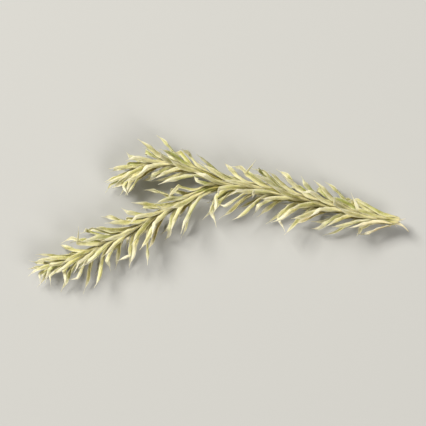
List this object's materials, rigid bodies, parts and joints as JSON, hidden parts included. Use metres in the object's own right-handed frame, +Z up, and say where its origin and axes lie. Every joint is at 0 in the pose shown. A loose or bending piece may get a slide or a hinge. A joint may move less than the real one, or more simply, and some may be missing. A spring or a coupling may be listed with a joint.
{
  "type": "dried running clubmoss",
  "caption": "Forked sprig of dried running clubmoss lying flat, its stems covered all round with curved needle leaves.",
  "frame": {"origin": "centre of the sprig's outline seen from above, on the surface that it lies on", "axes": "+X towards the cut end of the main stem, +Y across the sprig towards the short branch, +Z up from the surface"},
  "size_m": [0.0382, 0.0158, 0.0055],
  "materials": {
    "dried_stem_and_leaf": "dry and matt, straw yellow"
  },
  "bodies": {
    "root": {"main_leafy_stem": "dried_stem_and_leaf", "long_leafy_branch": "dried_stem_and_leaf", "short_leafy_branch": "dried_stem_and_leaf"}
  },
  "joints": []
}
